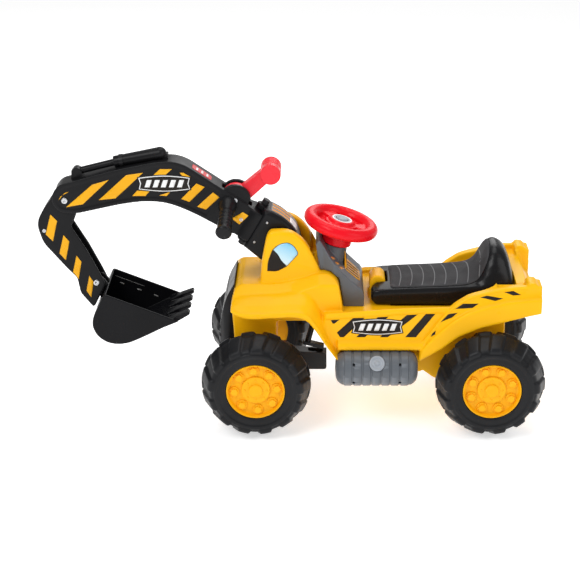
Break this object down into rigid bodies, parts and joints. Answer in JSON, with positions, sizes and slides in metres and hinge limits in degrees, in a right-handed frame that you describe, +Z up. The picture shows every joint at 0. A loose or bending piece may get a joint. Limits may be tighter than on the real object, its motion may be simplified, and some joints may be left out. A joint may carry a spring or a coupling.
{
  "type": "ride-on toy digger",
  "caption": "Child's ride-on digger with hinged seat, steered front axle, and a swinging boom, stick and bucket worked by a hand lever.",
  "frame": {"origin": "on the floor, under the middle of the object's box", "axes": "+Z up, +X towards the rear lights and -X towards the digging arm, +Y towards the right-hand side of a rider who faces the arm"},
  "size_m": [0.8188, 0.304, 0.4505],
  "materials": {
    "yellow_plastic": "satin moulded",
    "black_plastic": "satin moulded",
    "tyre_plastic": "blow moulded, slightly rough",
    "grey_plastic": "satin moulded",
    "pale_grey_plastic": "satin moulded",
    "red_plastic": "glossy moulded",
    "steel": "zinc plated",
    "painted_steel": "black paint on a bent steel rod"
  },
  "bodies": {
    "chassis": {"body_shell": "yellow_plastic", "grille": "black_plastic", "console": "grey_plastic", "rear_axle": "steel", "seat_hinge_pin": "steel", "tank_left": "grey_plastic", "tank_right": "grey_plastic", "tank_cap_left": "pale_grey_plastic", "tank_cap_right": "pale_grey_plastic", "pitch_pin": "steel", "kingpin": "steel"},
    "front_carrier": {"steering_yoke": "black_plastic", "front_axle": "steel"},
    "steering": {"steering_wheel": "red_plastic", "steering_rod": "painted_steel"},
    "horn": {"horn_button": "pale_grey_plastic"},
    "seat_lid": {"seat": "black_plastic"},
    "turret": {"turret": "black_plastic", "swing_pin": "black_plastic"},
    "boom": {"boom": "black_plastic", "cylinder_barrel": "black_plastic", "cylinder_rod": "black_plastic", "side_grip_left": "black_plastic", "side_grip_right": "black_plastic", "lever_pin": "steel", "stick_pin": "steel"},
    "lever": {"lever": "red_plastic", "lever_link_pin": "steel"},
    "pull_rod": {"pull_rod": "steel"},
    "stick": {"stick": "black_plastic", "stick_link_pin": "steel", "bucket_pin": "steel"},
    "bucket": {"bucket": "black_plastic"},
    "front_left_wheel": {"front_left_tyre": "tyre_plastic", "front_left_hub": "yellow_plastic", "front_left_hub_cap": "yellow_plastic", "front_left_push_nut": "steel"},
    "front_right_wheel": {"front_right_tyre": "tyre_plastic", "front_right_hub": "yellow_plastic", "front_right_hub_cap": "yellow_plastic", "front_right_push_nut": "steel"},
    "rear_left_wheel": {"rear_left_tyre": "tyre_plastic", "rear_left_hub": "yellow_plastic", "rear_left_hub_cap": "yellow_plastic", "rear_left_push_nut": "steel"},
    "rear_right_wheel": {"rear_right_tyre": "tyre_plastic", "rear_right_hub": "yellow_plastic", "rear_right_hub_cap": "yellow_plastic", "rear_right_push_nut": "steel"}
  },
  "joints": [
    {"name": "steering_turn", "type": "hinge", "parent": "chassis", "child": "steering", "pos_m": [0.08, 0, 0.321], "axis": [0.2504, 0, 0.9681], "range_deg": [-50, 50]},
    {"name": "front_axle_turn", "type": "hinge", "parent": "chassis", "child": "front_carrier", "pos_m": [-0.057, 0, 0.089], "axis": [0, 0, 1], "range_deg": [-10.45, 10.45]},
    {"name": "horn_press", "type": "slide", "parent": "steering", "child": "horn", "axis": [-0.2504, 0, -0.9681], "range_m": [0, 0.0025], "stiffness_N_per_m": 300},
    {"name": "front_left_spin", "type": "hinge", "parent": "front_carrier", "child": "front_left_wheel", "pos_m": [-0.057, -0.116, 0.089], "axis": [0, 1, 0], "continuous": true},
    {"name": "front_right_spin", "type": "hinge", "parent": "front_carrier", "child": "front_right_wheel", "pos_m": [-0.057, 0.116, 0.089], "axis": [0, 1, 0], "continuous": true},
    {"name": "rear_left_spin", "type": "hinge", "parent": "chassis", "child": "rear_left_wheel", "pos_m": [0.32, -0.116, 0.089], "axis": [0, 1, 0], "continuous": true},
    {"name": "rear_right_spin", "type": "hinge", "parent": "chassis", "child": "rear_right_wheel", "pos_m": [0.32, 0.116, 0.089], "axis": [0, 1, 0], "continuous": true},
    {"name": "seat_lift", "type": "hinge", "parent": "chassis", "child": "seat_lid", "pos_m": [0.14, 0, 0.219], "axis": [0, -1, 0], "range_deg": [0, 60]},
    {"name": "boom_pitch", "type": "hinge", "parent": "chassis", "child": "turret", "pos_m": [-0.032, 0, 0.286], "axis": [0, 1, 0], "range_deg": [-4, 12]},
    {"name": "boom_swing", "type": "hinge", "parent": "turret", "child": "boom", "pos_m": [-0.062, 0, 0.322], "axis": [0.5, 0, 0.866], "range_deg": [-30, 30]},
    {"name": "lever_pull", "type": "hinge", "parent": "boom", "child": "lever", "pos_m": [-0.09, 0, 0.366], "axis": [0, 1, 0], "range_deg": [-8, 15]},
    {"name": "pull_rod_turn", "type": "hinge", "parent": "lever", "child": "pull_rod", "pos_m": [-0.09, 0, 0.348], "axis": [0, 1, 0], "range_deg": [-15.5, 8.5]},
    {"name": "stick_turn", "type": "hinge", "parent": "boom", "child": "stick", "pos_m": [-0.363, 0, 0.366], "axis": [0, 1, 0], "range_deg": [-8.5, 15.5]},
    {"name": "bucket_turn", "type": "hinge", "parent": "stick", "child": "bucket", "pos_m": [-0.321, 0, 0.222], "axis": [0, -1, 0], "range_deg": [0, 22]}
  ],
  "couplings": [
    {"joint": "front_axle_turn", "follows": "steering_turn", "ratio": 0.208},
    {"joint": "pull_rod_turn", "follows": "lever_pull", "ratio": -1},
    {"joint": "stick_turn", "follows": "lever_pull", "ratio": 1}
  ]
}
